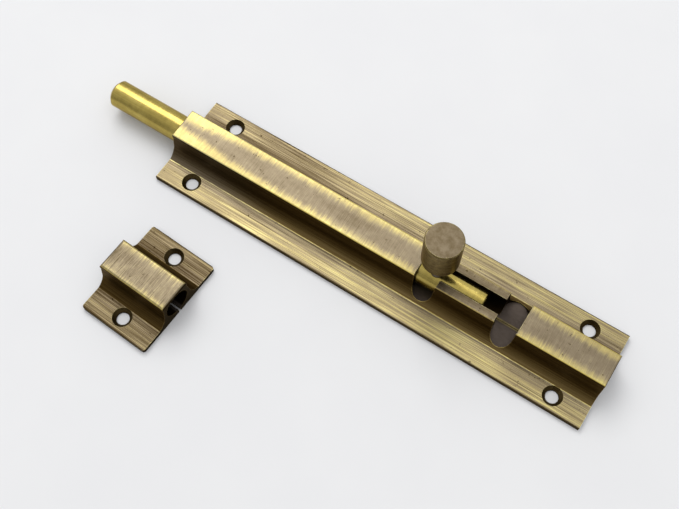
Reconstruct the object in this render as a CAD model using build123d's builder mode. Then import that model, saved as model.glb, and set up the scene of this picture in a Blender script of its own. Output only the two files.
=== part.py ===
from build123d import *
from math import cos, radians, sin
import os

# A straight barrel bolt: a milled length of drawn brass bar that carries a round bolt, the knob
# that moves it, and the short keeper that the bolt shoots into. Millimetres, +Z up. The origin is
# on the underside of the body, midway along it and under the bolt's axis. The bolt's tip points
# along -X. It is drawn thrown, with the knob upright in the front notch.

# The bolt and how freely it runs
bolt_diameter = 9.0
running_clearance = 0.08        # radial, bolt to bore
tip_chamfer = 0.9
tail_chamfer = 0.3
tip_stand_out = 0.5             # the drawn-back tip, past the body's end
bolt_tail = 16.3                # from the knob's stud to the bolt's rear end

# The drawn bar, which the body and the keeper are both cut from
floor_thickness = 1.8           # brass under the bore
roof_thickness = 0.54           # brass over the bore
barrel_wall = 1.12              # brass beside the bore, at the waist
crown_wall = 0.82               # brass beside the bore's width, at the crown
crown_edge_radius = 0.45
lip_height = 1.5                # the small lip along each side of the crown
lip_overhang = 0.25
waist_rise = 0.5                # how far the waist stands over the bolt's axis
cove_reach = 3.3                # how far each cove spreads, from the waist to its crease
flange_width = 7.5              # flat flange outside each crease
base_thickness = 1.7
flange_edge_radius = 0.2
seam_width = 0.15               # the bar's seam under the bore, closed up in the body
keeper_seam_width = 0.9         # and left open in the keeper

# The body
body_length = 150.0
front_housing_length = 87.9
notch_width = 7.4               # the cutter's diameter
throw = 26.6                    # from the front notch to the rear one
notch_floor_rise = 0.2          # the notch floor, over the flange
notch_setback = 1.1             # the notch's end, inside the crease
stud_slot_clearance = 0.7       # each side of the stud, in the slot along the crown
end_edge_radius = 0.3

# Countersunk screw holes, in the body and the keeper
screw_hole_diameter = 4.0
countersink_diameter = 6.2
countersink_angle = 90
hole_setback = 3.0              # from the crease to the hole's centre
hole_end_distance = 10.8        # from the body's end to the hole's centre

# The knob, on a threaded stud with a lock nut
stud_diameter = 4.0
thread_pitch = 0.7
thread_depth = 0.42
thread_crest = 0.07             # the flat left between two grooves
thread_clearance = 0.05         # radial, stud to its tapped holes
stud_side_gap = 0.3             # stud to the notch's end faces
stud_in_bolt = 5.6
stud_in_knob = 5.0
hole_end_gap = 0.3              # past each end of the stud
lock_nut_diameter = 7.8
lock_nut_thickness = 2.1
lock_nut_chamfer = 0.3
knob_diameter = 11.4
knob_length = 12.1
knob_standoff = 8.9             # from the bolt's surface to the knob
knob_shoulder_radius = 0.35
knob_rim_chamfer = 0.3

# The spring ring that keeps the bolt from sliding or rattling, in a groove round the bolt
ring_setback = 58.0             # from the stud to the ring
ring_thickness = 0.75
ring_width = 1.4
ring_gap = 2.2
ring_bore_clearance = 0.03
ring_groove_clearance = 0.05

# The keeper, lying beside the body
keeper_length = 24.2
keeper_x = -53.8
keeper_y = -47.9
keeper_turn = -3.0
keeper_corner_radius = 0.9
keeper_edge_radius = 0.8

# Worked out from the sizes above
bolt_radius = bolt_diameter / 2
bore_radius = bolt_radius + running_clearance
axis_height = floor_thickness + bore_radius
crown_height = axis_height + bore_radius + roof_thickness
waist_y = bore_radius + barrel_wall
waist_z = axis_height + waist_rise
crown_y = bore_radius + crown_wall
crease_y = waist_y + cove_reach
base_width = 2 * (crease_y + flange_width)
body_front = -body_length / 2
front_notch_x = body_front + front_housing_length + notch_width / 2
rear_notch_x = front_notch_x + throw
notch_floor = base_thickness + notch_floor_rise
notch_reach = crease_y - notch_setback
hole_spacing_x = body_length - 2 * hole_end_distance
hole_spacing_y = 2 * (crease_y + hole_setback)
stud_radius = stud_diameter / 2
slot_width = stud_diameter + 2 * stud_slot_clearance
stud_hole_radius = stud_radius + thread_clearance
thread_groove = thread_pitch - thread_crest
thread_end = 2 * thread_depth    # the stud's chamfer, and as much again of plain stud
stud_x = front_notch_x + notch_width / 2 - stud_radius - stud_side_gap
bolt_tip_x = body_front - tip_stand_out - throw
bolt_tail_x = stud_x + bolt_tail
bolt_top = axis_height + bolt_radius
knob_base = bolt_top + knob_standoff
ring_x = stud_x - ring_setback
ring_outer_radius = bore_radius - ring_bore_clearance
ring_inner_radius = ring_outer_radius - ring_thickness
groove_radius = ring_inner_radius - ring_groove_clearance
groove_width = ring_width + 2 * ring_groove_clearance

body_frame = Plane.XY
turn = radians(keeper_turn)
keeper_frame = Plane(origin=(keeper_x, keeper_y, 0), x_dir=(cos(turn), sin(turn), 0))


def across(frame):
    """The plane square to a bar's length, at its middle."""
    return Plane(origin=frame.origin, x_dir=frame.y_dir, z_dir=frame.x_dir)


def along(frame):
    """The upright plane that holds a bar's centre line."""
    return Plane(origin=frame.origin, x_dir=frame.x_dir, z_dir=-frame.y_dir)


def bolt_axis_at(x):
    """The plane square to the bolt's axis at x, facing the bolt's tail."""
    return Plane(origin=(x, 0, axis_height), x_dir=(0, 1, 0), z_dir=(1, 0, 0))


def over_stud(height):
    """The level plane at a height, centred on the knob's stud."""
    return Plane(origin=(stud_x, 0, height))


def drawn_bar(frame, edge_radius, seam):
    """The bar's section: flanges, coves, lipped crown, bore and the seam under it."""
    with BuildSketch(across(frame)) as section:
        with BuildLine():
            Polyline(
                (0, 0),
                (base_width / 2, 0),
                (base_width / 2, base_thickness),
                (crease_y, base_thickness),
            )
            TangentArc((waist_y, waist_z), (crease_y, base_thickness), tangent=(0, -1))
            Polyline(
                (waist_y, waist_z),
                (crown_y - lip_overhang, crown_height - lip_height),
                (crown_y, crown_height - lip_height),
                (crown_y, crown_height),
                (0, crown_height),
            )
            mirror(about=Plane.YZ)
        make_face()
        fillet(section.vertices().group_by(Axis.Y)[-1], edge_radius)
        flange_corners = section.vertices().filter_by_position(Axis.Y, base_thickness, base_thickness)
        fillet(flange_corners.group_by(Axis.X)[0], flange_edge_radius)
        flange_corners = section.vertices().filter_by_position(Axis.Y, base_thickness, base_thickness)
        fillet(flange_corners.group_by(Axis.X)[-1], flange_edge_radius)
        with Locations((0, axis_height)):
            Circle(bore_radius, mode=Mode.SUBTRACT)
        with Locations((0, axis_height / 2)):
            Rectangle(seam, axis_height, mode=Mode.SUBTRACT)
    return section.sketch


def round_the_ends(frame, length, radius):
    """Keep what lies inside a side view with its two upper corners rounded."""
    with BuildSketch(along(frame)) as side:
        with Locations((0, crown_height / 2)):
            Rectangle(length, crown_height)
        fillet(side.vertices().group_by(Axis.Y)[-1], radius)
    extrude(side.sketch, amount=base_width, both=True, mode=Mode.INTERSECT)


def screw_holes(frame, spacing_x, count_x):
    """Countersunk holes in the flanges, two across."""
    with Locations(frame.offset(base_thickness)):
        with GridLocations(spacing_x, hole_spacing_y, count_x, 2):
            CounterSinkHole(
                radius=screw_hole_diameter / 2,
                counter_sink_radius=countersink_diameter / 2,
                depth=2 * base_thickness,
                counter_sink_angle=countersink_angle,
            )


# Body: bored bar, two notches across the crown, the slot between them, four screw holes
with BuildPart() as bolt_body:
    section = drawn_bar(body_frame, crown_edge_radius, seam_width)
    extrude(section, amount=body_length / 2, both=True)
    round_the_ends(body_frame, body_length, end_edge_radius)
    with BuildSketch(Plane.XY.offset(notch_floor)):
        with Locations((front_notch_x, 0), (rear_notch_x, 0)):
            SlotOverall(2 * notch_reach, notch_width, rotation=90)
    extrude(amount=crown_height, mode=Mode.SUBTRACT)
    with BuildSketch(Plane.XY.offset(axis_height)):
        with Locations(((front_notch_x + rear_notch_x) / 2, 0)):
            Rectangle(throw, slot_width)
    extrude(amount=crown_height, mode=Mode.SUBTRACT)
    screw_holes(body_frame, hole_spacing_x, 2)

# Keeper: a short length of the same bar, with its corners eased and two screw holes
with BuildPart() as keeper:
    section = drawn_bar(keeper_frame, keeper_edge_radius, keeper_seam_width)
    extrude(section, amount=keeper_length / 2, both=True)
    round_the_ends(keeper_frame, keeper_length, keeper_edge_radius)
    with BuildSketch(keeper_frame):
        RectangleRounded(keeper_length, base_width, keeper_corner_radius)
    extrude(amount=crown_height, mode=Mode.INTERSECT)
    screw_holes(keeper_frame, 0, 1)

# Bolt: a round rod, eased at both ends, grooved for its ring and tapped for the stud
with BuildPart() as bolt_rod:
    with BuildSketch(bolt_axis_at(bolt_tip_x)):
        Circle(bolt_radius)
    extrude(amount=bolt_tail_x - bolt_tip_x)
    chamfer(bolt_rod.edges().group_by(Axis.X)[0], tip_chamfer)
    chamfer(bolt_rod.edges().group_by(Axis.X)[-1], tail_chamfer)
    with BuildSketch(bolt_axis_at(ring_x)):
        Circle(bolt_diameter)
        Circle(groove_radius, mode=Mode.SUBTRACT)
    extrude(amount=groove_width / 2, both=True, mode=Mode.SUBTRACT)
    with Locations(over_stud(bolt_top)):
        Hole(stud_hole_radius, depth=stud_in_bolt + hole_end_gap)

# Spring ring: split, so that it can be sprung over the bolt into the groove
with BuildPart() as friction_ring:
    with BuildSketch(bolt_axis_at(ring_x)):
        Circle(ring_outer_radius)
        Circle(ring_inner_radius, mode=Mode.SUBTRACT)
        with Locations((0, -ring_outer_radius)):
            Rectangle(ring_gap, 2 * ring_thickness + ring_outer_radius, mode=Mode.SUBTRACT)
    extrude(amount=ring_width / 2, both=True)

# Stud: a threaded pin, its thread drawn as a stack of V grooves
with BuildPart() as knob_stud:
    stud_length = stud_in_bolt + knob_standoff + stud_in_knob
    with BuildSketch(over_stud(bolt_top - stud_in_bolt)):
        Circle(stud_radius)
    extrude(amount=stud_length)
    chamfer(knob_stud.edges().group_by(Axis.Z)[0], thread_depth)
    chamfer(knob_stud.edges().group_by(Axis.Z)[-1], thread_depth)
    groove_count = int((stud_length - 2 * thread_end) / thread_pitch)
    first_groove = bolt_top - stud_in_bolt + (stud_length - (groove_count - 1) * thread_pitch) / 2
    with BuildSketch(Plane(origin=(stud_x, 0, 0), x_dir=(1, 0, 0), z_dir=(0, -1, 0))):
        for groove in range(groove_count):
            middle = first_groove + groove * thread_pitch
            with BuildLine():
                Polyline(
                    (stud_radius - thread_depth, middle),
                    (stud_radius, middle - thread_groove / 2),
                    (stud_radius, middle + thread_groove / 2),
                    close=True,
                )
            make_face()
    revolve(axis=Axis((stud_x, 0, 0), (0, 0, 1)), mode=Mode.SUBTRACT)

# Lock nut: a thin round nut, run up the stud against the knob
with BuildPart() as lock_nut:
    with BuildSketch(over_stud(knob_base - lock_nut_thickness)):
        Circle(lock_nut_diameter / 2)
        Circle(stud_hole_radius, mode=Mode.SUBTRACT)
    extrude(amount=lock_nut_thickness)
    outer_edges = lock_nut.edges().filter_by(GeomType.CIRCLE).group_by(SortBy.RADIUS)[-1]
    chamfer(outer_edges, lock_nut_chamfer)

# Knob: a turned cylinder with a round shoulder, tapped from below
with BuildPart() as knob:
    with BuildSketch(over_stud(knob_base)):
        Circle(knob_diameter / 2)
    extrude(amount=knob_length)
    fillet(knob.edges().group_by(Axis.Z)[0], knob_shoulder_radius)
    chamfer(knob.edges().group_by(Axis.Z)[-1], knob_rim_chamfer)
    with BuildSketch(over_stud(knob_base)):
        Circle(stud_hole_radius)
    extrude(amount=stud_in_knob + hole_end_gap, mode=Mode.SUBTRACT)

pieces = {
    "bolt_body": bolt_body,
    "bolt_rod": bolt_rod,
    "friction_ring": friction_ring,
    "knob_stud": knob_stud,
    "lock_nut": lock_nut,
    "knob": knob,
    "keeper": keeper,
}
os.makedirs("parts", exist_ok=True)
for label, piece in pieces.items():
    piece.part.label = label
    export_step(piece.part, f"parts/{label}.step")
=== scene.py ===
from math import cos, radians, sin

import bpy
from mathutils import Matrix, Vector


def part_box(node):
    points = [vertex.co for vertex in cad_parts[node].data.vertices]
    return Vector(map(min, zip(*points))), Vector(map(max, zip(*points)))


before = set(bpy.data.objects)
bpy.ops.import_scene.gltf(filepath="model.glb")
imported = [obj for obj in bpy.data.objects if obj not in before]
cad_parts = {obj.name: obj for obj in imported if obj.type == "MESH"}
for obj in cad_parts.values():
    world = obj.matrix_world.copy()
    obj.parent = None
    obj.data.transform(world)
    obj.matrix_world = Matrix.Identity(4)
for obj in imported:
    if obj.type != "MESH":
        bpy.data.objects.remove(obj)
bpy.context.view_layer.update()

# A barrel bolt and its keeper in antique brass, on a white table under soft studio light. The CAD
# nodes keep their shapes and get their finishes here. Metres, +Z up. Finishes are laid out in
# millimetres, because that is the scale of the brushing.

MM = 0.001

# The drawn bar's section, in millimetres: its outside comes from the body's box
crown_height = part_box("bolt_body")[1].z / MM
plate_half_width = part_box("bolt_body")[1].y / MM
crown_half_width = 5.4
lip_height = 1.5
barrel_half_width = 5.15        # under the crown's lip
waist_half_width = 5.7          # where each cove begins
crease_half_width = 9.0         # where each cove meets its flange
base_thickness = 1.7

# How far the keeper is turned in plan
keeper_turn = radians(-3.0)

# The stretch that the slot and its two notches take up, along the body from its middle
slot_front = 12.9
slot_rear = 46.9

# Stretches along the body over which its finish changes, from the first place to the second.
# Along the far flange the change is painted shading, darker towards the front end.
front_cove_tone = (-30.0, -60.0)
front_crown_wear = (-50.0, -74.0)
far_flange_painted_shading = (-70.0, 60.0)
near_flange_fade = (-60.0, 0.0)

# Camera: where it looks, from where, and its lens on a 36 mm sensor
look_at = Vector((-11.633, -7.109, 0.0)) * MM
camera_distance = 293.056 * MM
camera_azimuth = radians(32.784)
camera_elevation = radians(65.783)
camera_lens = 50.465


# Node building ------------------------------------------------------------------------------------


class Finish:
    """A material being built. Its methods add nodes, and most return the last one's output."""

    def __init__(self, name):
        self.material = bpy.data.materials.new(name)
        self.material.use_nodes = True
        self.tree = self.material.node_tree
        self.shader = self.tree.nodes["Principled BSDF"]

    def node(self, kind, inputs, **settings):
        """Adds a shader node with its settings and inputs, and returns the node itself."""
        made = self.tree.nodes.new("ShaderNode" + kind)
        for name, value in settings.items():
            setattr(made, name, value)
        for key, value in inputs.items():
            self.feed(made.inputs[key], value)
        return made

    def feed(self, socket, value):
        """Links another node's output to a socket, or sets the socket's value."""
        if isinstance(value, bpy.types.NodeSocket):
            self.tree.links.new(value, socket)
        else:
            socket.default_value = value

    def math(self, operation, a, b=0.0):
        return self.node("Math", {0: a, 1: b}, operation=operation).outputs[0]

    def total(self, result, *others):
        for other in others:
            result = self.math("ADD", result, other)
        return result

    def product(self, result, *others):
        for other in others:
            result = self.math("MULTIPLY", result, other)
        return result

    def vector_math(self, operation, a, b):
        return self.node("VectorMath", {0: a, 1: b}, operation=operation).outputs[0]

    def split(self, vector):
        return self.node("SeparateXYZ", {0: vector}).outputs[:3]

    def band(self, value, start, end):
        """0 up to start and 1 from end, eased between; start may be the larger one."""
        limits = {"Value": value, "From Min": start, "From Max": end}
        return self.node("MapRange", limits, interpolation_type="SMOOTHSTEP").outputs[0]

    def spread(self, value, low, high):
        """A 0 to 1 value, stretched to run from low to high."""
        return self.node("MapRange", {"Value": value, "To Min": low, "To Max": high}).outputs[0]

    def noise(self, place, per_mm, detail=4.0, roughness=0.6, seed=0.0):
        """Noise from 0 to 1, with its own number of cells per millimetre along each axis."""
        moved = self.vector_math("MULTIPLY", place, per_mm)
        moved = self.vector_math("ADD", moved, (seed, 0.37 * seed, 0.71 * seed))
        sockets = {"Vector": moved, "Scale": 1.0, "Detail": detail, "Roughness": roughness}
        return self.band(self.node("TexNoise", sockets).outputs[0], 0.26, 0.74)

    def ramp(self, value, stops):
        """A colour ramp through (position, colour) stops."""
        made = self.node("ValToRGB", {0: value})
        elements = made.color_ramp.elements
        while len(elements) < len(stops):
            elements.new(0.5)
        for element, (position, colour) in zip(elements, stops):
            element.position = position
            element.color = (*colour, 1.0)
        return made.outputs[0]

    def between(self, amount, a, b):
        """A value that goes from a to b as the amount goes from 0 to 1."""
        return self.node("Mix", {0: amount, 2: a, 3: b}, data_type="FLOAT").outputs[0]

    def mix(self, amount, a, b, blend="MIX"):
        """A colour that goes from a to b, or to a blended with b, as the amount goes from 0 to 1."""
        made = self.node("Mix", {0: amount, 6: a, 7: b}, data_type="RGBA", blend_type=blend)
        return made.outputs[2]

    def place(self):
        """The surface point in its own piece, in millimetres."""
        coordinates = self.node("TexCoord", {}).outputs["Object"]
        return self.vector_math("MULTIPLY", coordinates, (1 / MM, 1 / MM, 1 / MM))

    def normal(self):
        return self.node("TexCoord", {}).outputs["Normal"]

    def rounded(self, radius):
        """The normal as it would be with the edges rounded to a radius in millimetres."""
        return self.node("Bevel", {"Radius": radius * MM}, samples=6).outputs[0]

    def edge(self, radius):
        """1 along the sharp edges and 0 away from them, for a radius in millimetres."""
        flat = self.node("NewGeometry", {}).outputs["Normal"]
        pair = {0: self.rounded(radius), 1: flat}
        likeness = self.node("VectorMath", pair, operation="DOT_PRODUCT").outputs["Value"]
        return self.band(likeness, 0.98, 0.8)

    def finish(self, colour, roughness, height, depth, edge_radius):
        """Makes a metal of this colour and roughness, with bump over softened edges, and returns
        the material. The depth of the bump and the radius of the edges are in millimetres."""
        relief = {"Height": height, "Distance": depth * MM, "Normal": self.rounded(edge_radius)}
        bump = self.node("Bump", relief)
        self.feed(self.shader.inputs["Base Color"], colour)
        self.feed(self.shader.inputs["Roughness"], roughness)
        self.feed(self.shader.inputs["Normal"], bump.outputs[0])
        self.shader.inputs["Metallic"].default_value = 1.0
        self.shader.inputs["Specular Tint"].default_value = GLANCING_TINT
        return self.material


# Finishes -----------------------------------------------------------------------------------------

# From brown patina to bare, rubbed brass
PATINA = [
    (0.0, (0.013, 0.0075, 0.002)),
    (0.2, (0.041, 0.024, 0.007)),
    (0.4, (0.102, 0.073, 0.029)),
    (0.6, (0.205, 0.160, 0.081)),
    (0.8, (0.365, 0.294, 0.120)),
    (1.0, (0.650, 0.570, 0.190)),
]

# Tints laid over the patina, the knob's among them, the bare metal of the notches' floors, and
# a painted highlight along the seam in them
LILAC_TINT = (0.98, 1.015, 1.36, 1.0)
TAUPE_TINT = (0.97, 0.985, 1.32, 1.0)
BROWN_TINT = (1.0, 0.88, 0.66, 1.0)
KNOB_TINT = (0.95, 0.92, 0.88, 1.0)
CUT_GREY = (0.075, 0.060, 0.050, 1.0)
SEAM_PAINTED_HIGHLIGHT = (0.22, 0.17, 0.05, 1.0)

# The tint of a metal's reflection at a glancing angle
GLANCING_TINT = (0.75, 0.69, 0.60, 1.0)


def drawn_bar_brass(name, centre, turn, crown_brush, flange_tone, worn_reach):
    """Antique brass on a length of the drawn bar: flanges brushed lengthwise, coves left dark, and
    the crown brushed crosswise and rubbed bright along its edges. The bar lies about its centre,
    turned in plan. crown_brush is the contrast of the crown's marks, flange_tone how bare the
    flanges are, and worn_reach how far in from the crown's edges the rubbing goes."""
    f = Finish(name)
    place = f.vector_math("SUBTRACT", f.place(), centre)
    normal = f.normal()
    if turn:
        rotation = {"Axis": (0, 0, 1), "Angle": -turn}
        place = f.node("VectorRotate", {"Vector": place, **rotation}).outputs[0]
        normal = f.node("VectorRotate", {"Vector": normal, **rotation}).outputs[0]
    x, y, z = f.split(place)
    normal_x, _, normal_z = f.split(normal)
    out = f.math("ABSOLUTE", y)
    lengthwise = f.band(f.math("ABSOLUTE", normal_x), 0.6, 0.3)

    # Where each face of the bar is
    level = f.band(normal_z, 0.94, 0.98)
    high = f.band(z, crown_height - lip_height - 0.1, crown_height - lip_height + 0.1)
    crown = f.product(f.band(normal_z, 0.45, 0.8), high)
    flange = f.product(level, f.band(out, crease_half_width - 0.3, crease_half_width))
    far_flange = f.band(y, crease_half_width - 1.0, crease_half_width)
    near_flange = f.band(y, 1.0 - crease_half_width, -crease_half_width)
    cut_floor = f.product(
        level,
        f.band(z, base_thickness + 2.0, base_thickness + 1.0),
        f.band(out, crease_half_width - 0.5, crease_half_width - 0.8),
    )
    side = f.product(
        lengthwise,
        f.band(out, plate_half_width - 0.3, plate_half_width - 0.1),
        f.band(z, 0.1, 0.4),
        f.band(normal_z, 0.94, 0.8),
    )
    countersink = f.product(
        f.band(normal_z, 0.5, 0.6),
        f.band(normal_z, 0.85, 0.75),
        f.band(out, crease_half_width + 0.1, crease_half_width + 0.3),
    )
    cove = f.product(
        lengthwise,
        f.band(out, barrel_half_width - 0.15, barrel_half_width - 0.05),
        f.band(normal_z, 0.97, 0.95),
        f.band(out, crease_half_width + 0.1, crease_half_width),
    )
    slot = f.product(f.band(x, slot_front - 0.3, slot_front), f.band(x, slot_rear + 0.3, slot_rear))

    # Brush marks: long ones on the flanges and on the rails beside the slot, short crosswise ones
    # on the rest of the crown
    fine_marks = f.noise(place, (0.04, 9.0, 9.0), detail=2.0, roughness=0.7)
    broad_marks = f.noise(place, (0.02, 2.0, 2.0), detail=4.0, roughness=0.7, seed=17.0)
    long_marks = f.total(f.product(fine_marks, 0.75), f.product(broad_marks, 0.25))
    long_bands = f.noise(place, (0.008, 0.7, 0.7), detail=3.0, seed=3.1)
    hue_bands = f.noise(place, (0.012, 1.6, 1.6), detail=4.0, roughness=0.7, seed=33.0)
    cross_marks = f.noise(place, (4.5, 0.12, 0.12), detail=5.0, roughness=0.8, seed=7.7)
    crown_marks = f.between(slot, cross_marks, fine_marks)
    fringe_marks = f.noise(place, (1.6, 0.10, 0.10), detail=5.0, roughness=0.75, seed=41.0)

    # Uneven patches and dark specks
    mottle = f.noise(place, (0.55, 0.8, 0.8), detail=6.0, roughness=0.7, seed=12.0)
    clouds = f.noise(place, (0.035, 0.10, 0.10), detail=2.0, seed=21.0)
    specks = f.band(f.noise(place, (0.75, 0.75, 0.75), detail=3.0, seed=55.0), 0.94, 1.0)

    # How far the patina is rubbed away on each face, with painted light added: shading along the
    # far flange and a highlight along each crease
    flange_rub = f.total(
        f.spread(long_marks, flange_tone - 0.34, flange_tone + 0.30),
        f.spread(long_bands, -0.07, 0.06),
        # Painted shading along the far flange, darker towards its front end and lighter towards the rear
        f.product(far_flange, f.spread(f.band(x, *far_flange_painted_shading), -0.14, 0.05)),
        f.product(near_flange, f.spread(f.band(x, *near_flange_fade), -0.01, 0.05)),
        f.spread(clouds, -0.06, 0.08),
        f.spread(f.band(out, crease_half_width, crease_half_width + 5.0), -0.09, 0.04),
        f.spread(f.band(out, plate_half_width - 0.45, plate_half_width - 0.2), 0.0, -0.35),
    )
    inward = f.total(
        f.math("SUBTRACT", crown_half_width, out),
        f.spread(fringe_marks, -0.8, 0.8),
        f.spread(clouds, -0.7, 0.7),
        f.spread(f.band(x, *front_crown_wear), 0.0, -2.4),
        f.spread(slot, 0.0, 1.6),
    )
    rubbed_edge = f.band(inward, worn_reach + 1.9, worn_reach - 1.3)
    crown_rub = f.total(
        f.spread(crown_marks, 0.58 - crown_brush, 0.58 + crown_brush),
        f.spread(mottle, -0.03, 0.03),
        f.spread(clouds, -0.07, 0.05),
        f.spread(rubbed_edge, 0.0, 0.26),
        f.spread(slot, 0.0, -0.10),
    )
    cove_rub = f.total(
        f.spread(f.band(out, waist_half_width + 0.2, crease_half_width - 0.6), 0.26, flange_tone - 0.14),
        f.spread(long_marks, -0.16, 0.16),
    )
    # A painted highlight along each crease, standing in for a small ridge there that catches the light
    from_crease = f.math("ABSOLUTE", f.math("SUBTRACT", out, crease_half_width))
    crease_painted_highlight = f.product(
        f.band(from_crease, 0.22, 0.05),
        lengthwise,
        f.band(normal_z, 0.5, 0.8),
        f.spread(mottle, 0.4 * flange_tone, 0.8 * flange_tone),
    )
    edge_wear_and_glint = f.product(f.edge(0.35), f.spread(mottle, 0.2, 0.6), f.band(z, 0.5, 1.2))
    rub = f.total(
        f.product(flange, flange_rub),
        f.product(crown, crown_rub),
        f.product(cove, cove_rub),
        f.product(side, f.spread(long_marks, 0.05, 0.32)),
        f.product(countersink, f.spread(long_marks, 0.15, 0.45)),
        crease_painted_highlight,
        edge_wear_and_glint,
        f.product(f.total(flange, crown), specks, -0.28),
    )

    # Colour: lilac on the crown, taupe on the flanges and the front of the coves, brown on the rest
    # of the coves, grey on the notches' floors and a painted highlight in brass colour along the seam in
    # them
    front_coves = f.band(x, *front_cove_tone)
    by_the_crease = f.band(out, crease_half_width + 4.0, crease_half_width + 1.0)
    lilac = f.product(crown, f.spread(rubbed_edge, 0.9, 0.0))
    taupe = f.total(
        f.product(flange, f.spread(hue_bands, 0.15, 0.85)),
        f.product(flange, by_the_crease, 0.3),
        f.product(cove, front_coves, 0.9),
    )
    brown = f.product(cove, f.spread(front_coves, 0.9, 0.0))
    colour = f.ramp(rub, PATINA)
    colour = f.mix(lilac, colour, LILAC_TINT, "MULTIPLY")
    colour = f.mix(taupe, colour, TAUPE_TINT, "MULTIPLY")
    colour = f.mix(brown, colour, BROWN_TINT, "MULTIPLY")
    colour = f.mix(f.product(cut_floor, f.spread(mottle, 0.75, 1.0)), colour, CUT_GREY)
    # A painted highlight: a line of brass colour along the seam, where the slit's far wall catches the
    # light
    seam_glint = f.product(cut_floor, f.band(out, 0.7, 0.2), f.spread(mottle, 0.2, 0.8))
    colour = f.mix(seam_glint, colour, SEAM_PAINTED_HIGHLIGHT)
    roughness = f.spread(rub, 0.50, 0.32)
    marks = f.between(crown, long_marks, crown_marks)
    return f.finish(colour, roughness, marks, depth=0.010, edge_radius=0.10)


def bare_brass():
    """The bolt's rod: bare yellow brass, polished along its length and lightly scuffed."""
    f = Finish("bare_brass")
    place = f.place()
    scratches = f.noise(place, (0.03, 3.5, 3.5), detail=6.0, roughness=0.7)
    tarnish = f.noise(place, (0.12, 0.25, 0.25), detail=4.0, seed=5.0)
    scuffs = f.noise(place, (1.0, 0.4, 0.4), detail=4.0, roughness=0.6, seed=9.0)
    bright = f.total(
        f.spread(scratches, 0.30, 0.66),
        f.spread(tarnish, -0.16, 0.14),
        f.spread(scuffs, -0.06, 0.06),
    )
    colour = f.ramp(bright, [
        (0.0, (0.20, 0.145, 0.035)),
        (0.5, (0.42, 0.325, 0.085)),
        (1.0, (0.66, 0.54, 0.18)),
    ])
    height = f.total(scratches, f.product(scuffs, 0.3))
    return f.finish(colour, f.spread(scuffs, 0.17, 0.27), height, depth=0.002, edge_radius=0.15)


def turned_brass():
    """The knob: antique brass brushed round and round, darker on its flat end."""
    f = Finish("turned_brass")
    low, high = (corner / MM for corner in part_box("knob"))
    axis = ((low.x + high.x) / 2, (low.y + high.y) / 2, 0)
    place = f.vector_math("SUBTRACT", f.place(), axis)
    level = f.math("ABSOLUTE", f.split(f.normal())[2])
    end_face = f.band(level, 0.85, 0.98)
    rings = f.noise(place, (0.12, 0.12, 5.0), detail=6.0, roughness=0.8)
    mottle = f.noise(place, (0.5, 0.5, 0.7), detail=5.0, roughness=0.7, seed=4.0)
    side_rub = f.total(f.spread(rings, 0.30, 0.80), f.spread(mottle, -0.12, 0.10))
    end_rub = f.spread(mottle, 0.40, 0.52)
    rub = f.between(end_face, side_rub, end_rub)
    rub = f.total(rub, f.product(f.edge(0.5), f.spread(mottle, 0.35, 0.65)))
    colour = f.ramp(rub, PATINA)
    colour = f.mix(1.0, colour, f.mix(end_face, KNOB_TINT, LILAC_TINT), "MULTIPLY")
    return f.finish(colour, f.spread(rub, 0.44, 0.26), rings, depth=0.015, edge_radius=0.2)


def blackened_metal(name, tone):
    """Blackened metal for the stud and the lock nut, paler for a higher tone. Its edges are lighter,
    partly from wear and partly as painted highlights on the thread's crests.
    """
    f = Finish(name)
    place = f.place()
    grain = f.noise(place, (2.5, 2.5, 2.5), detail=5.0, roughness=0.7)
    patches = f.noise(place, (0.4, 0.4, 0.4), detail=3.0, seed=6.0)
    # Lighter edges: wear, and on the stud's thread crests painted highlights
    edge_wear_and_glint = f.product(f.edge(0.12), f.spread(patches, 0.15, 0.85))
    shade = f.total(f.spread(patches, 0.2, 0.6), edge_wear_and_glint)
    colour = f.ramp(shade, [
        (0.0, (0.018 * tone, 0.014 * tone, 0.011 * tone)),
        (0.5, (0.075 * tone, 0.060 * tone, 0.048 * tone)),
        (1.0, (0.46, 0.41, 0.34)),
    ])
    return f.finish(colour, f.spread(grain, 0.22, 0.42), grain, depth=0.01, edge_radius=0.05)


def spring_steel():
    """The friction ring: drawn steel strip, pale and fine-grained."""
    f = Finish("spring_steel")
    grain = f.noise(f.place(), (6.0, 0.6, 0.6), detail=4.0)
    colour = f.ramp(grain, [(0.0, (0.28, 0.28, 0.29)), (1.0, (0.62, 0.61, 0.60))])
    return f.finish(colour, f.spread(grain, 0.22, 0.38), grain, depth=0.01, edge_radius=0.05)


def table_white():
    """The table's matt white, very faintly clouded."""
    f = Finish("table_white")
    clouds = f.noise(f.place(), (0.02, 0.02, 0.02), detail=3.0)
    colour = f.ramp(clouds, [(0.0, (0.775, 0.775, 0.78)), (1.0, (0.795, 0.795, 0.795))])
    f.feed(f.shader.inputs["Base Color"], colour)
    f.shader.inputs["Roughness"].default_value = 0.9
    f.shader.inputs["Specular IOR Level"].default_value = 0.1
    return f.material


def coat(obj, material):
    """Gives an object one material, in place of what it came with."""
    obj.data.materials.clear()
    obj.data.materials.append(material)


keeper_low, keeper_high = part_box("keeper")
keeper_centre = (keeper_low + keeper_high) / 2 / MM
keeper_centre.z = 0
finishes = {
    "bolt_body": drawn_bar_brass(
        "antique_brass_body",
        centre=(0, 0, 0),
        turn=0.0,
        crown_brush=0.09,
        flange_tone=0.65,
        worn_reach=1.6,
    ),
    "keeper": drawn_bar_brass(
        "antique_brass_keeper",
        centre=keeper_centre,
        turn=keeper_turn,
        crown_brush=0.20,
        flange_tone=0.42,
        worn_reach=0.8,
    ),
    "bolt_rod": bare_brass(),
    "knob": turned_brass(),
    "knob_stud": blackened_metal("dark_steel", tone=1.7),
    "lock_nut": blackened_metal("dark_nut", tone=0.8),
    "friction_ring": spring_steel(),
}
for node, material in finishes.items():
    coat(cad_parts[node], material)


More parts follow.
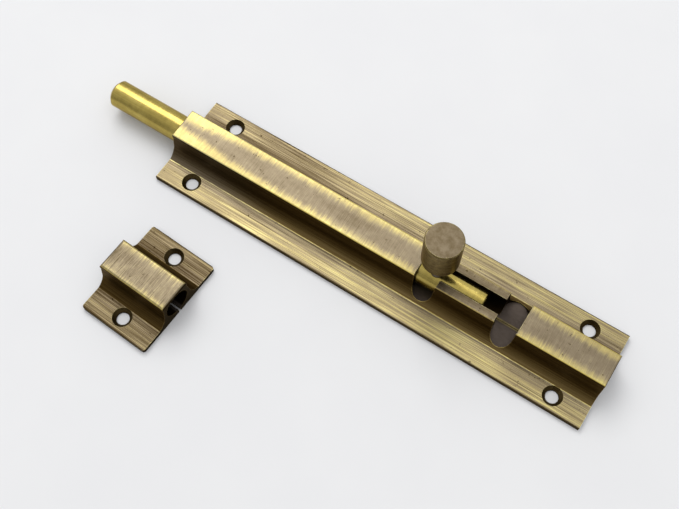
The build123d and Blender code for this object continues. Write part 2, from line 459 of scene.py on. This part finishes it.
# Table, light and camera --------------------------------------------------------------------------


def table():
    """A wide level top just under the object."""
    half = 2.0
    drop = 0.02 * MM
    mesh = bpy.data.meshes.new("table_top")
    corners = [(-half, -half, -drop), (half, -half, -drop), (half, half, -drop), (-half, half, -drop)]
    mesh.from_pydata(corners, [], [(0, 1, 2, 3)])
    made = bpy.data.objects.new("table_top", mesh)
    bpy.context.scene.collection.objects.link(made)
    coat(made, table_white())


def softbox(name, place, size, watts):
    """A square area light aimed at the middle of the object."""
    light = bpy.data.lights.new(name, "AREA")
    light.shape = "SQUARE"
    light.size = size
    light.energy = watts
    made = bpy.data.objects.new(name, light)
    made.location = place
    made.rotation_euler = (look_at - Vector(place)).to_track_quat("-Z", "Y").to_euler()
    bpy.context.scene.collection.objects.link(made)


def room_light(towards, bright, dim, dimmest_at):
    """A pale room, bright in one direction, that dims away from it and is even past an angle whose
    cosine is dimmest_at."""
    world = bpy.data.worlds.new("room")
    world.use_nodes = True
    nodes = world.node_tree.nodes
    links = world.node_tree.links
    background = nodes["Background"]
    background.inputs["Color"].default_value = (0.98, 0.985, 1.0, 1.0)
    direction = nodes.new("ShaderNodeTexCoord")
    facing = nodes.new("ShaderNodeVectorMath")
    facing.operation = "DOT_PRODUCT"
    facing.inputs[1].default_value = Vector(towards).normalized()
    fade = nodes.new("ShaderNodeMapRange")
    fade.inputs["From Min"].default_value = dimmest_at
    fade.inputs["To Min"].default_value = dim
    fade.inputs["To Max"].default_value = bright
    links.new(direction.outputs["Generated"], facing.inputs[0])
    links.new(facing.outputs["Value"], fade.inputs["Value"])
    links.new(fade.outputs[0], background.inputs["Strength"])
    bpy.context.scene.world = world


def camera():
    """The camera, level, at its azimuth and elevation about the point it looks at."""
    out = cos(camera_elevation)
    back = Vector((sin(camera_azimuth) * out, -cos(camera_azimuth) * out, sin(camera_elevation)))
    data = bpy.data.cameras.new("camera")
    data.sensor_width = 36.0
    data.lens = camera_lens
    data.clip_start = 0.01
    data.clip_end = 10.0
    made = bpy.data.objects.new("camera", data)
    made.location = look_at + back * camera_distance
    made.rotation_euler = (-back).to_track_quat("-Z", "Y").to_euler()
    bpy.context.scene.collection.objects.link(made)
    bpy.context.scene.camera = made


table()
softbox("key", place=(-0.55, 0.45, 1.0), size=0.7, watts=5.0)
softbox("top", place=(0.25, 0.15, 1.2), size=0.7, watts=1.5)
room_light(towards=(-0.45, 0.30, 0.85), bright=1.05, dim=0.50, dimmest_at=0.2)
camera()
bpy.context.scene.view_settings.view_transform = "Standard"
